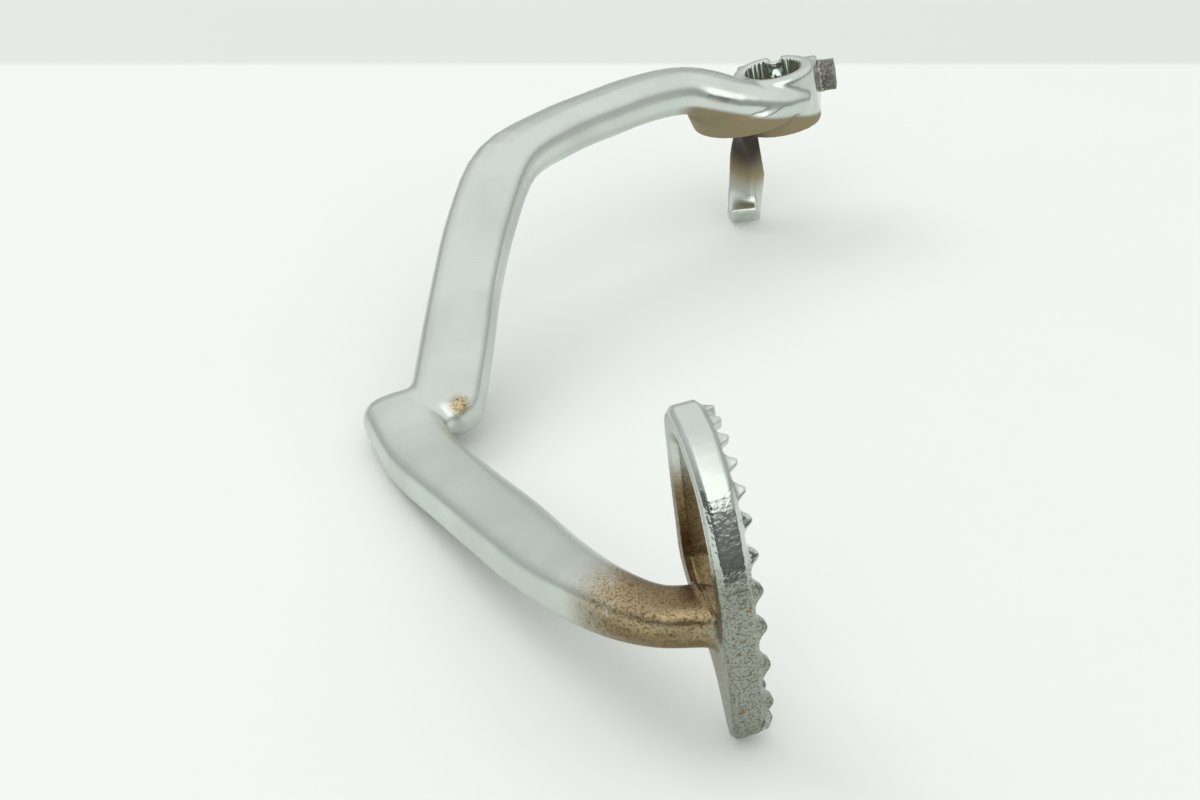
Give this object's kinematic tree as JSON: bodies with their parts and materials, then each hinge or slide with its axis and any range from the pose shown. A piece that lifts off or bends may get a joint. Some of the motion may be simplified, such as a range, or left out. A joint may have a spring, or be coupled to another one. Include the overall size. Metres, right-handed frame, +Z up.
{
  "type": "motorcycle rear brake pedal",
  "caption": "Forged chrome brake pedal with a split shaft clamp, a cranked arm, a stop leg and an open toothed foot pad.",
  "frame": {"origin": "middle of the shaft bore of the clamp", "axes": "+Z up from the surface that the pedal lies on, +Y from the foot pad towards the clamp, +X to the side that the pad's teeth face"},
  "size_m": [0.1265, 0.2753, 0.0638],
  "materials": {
    "chromed_forging": "old chrome plate over a rough forging, pitted, with rust specks and brown film round the pad's neck",
    "dirty_bolt_steel": "dull zinc with dirt",
    "washer_steel": "dull steel with dirt"
  },
  "bodies": {
    "root": {"pedal_forging": "chromed_forging", "pinch_bolt": "dirty_bolt_steel", "spring_washer": "washer_steel"}
  },
  "joints": []
}
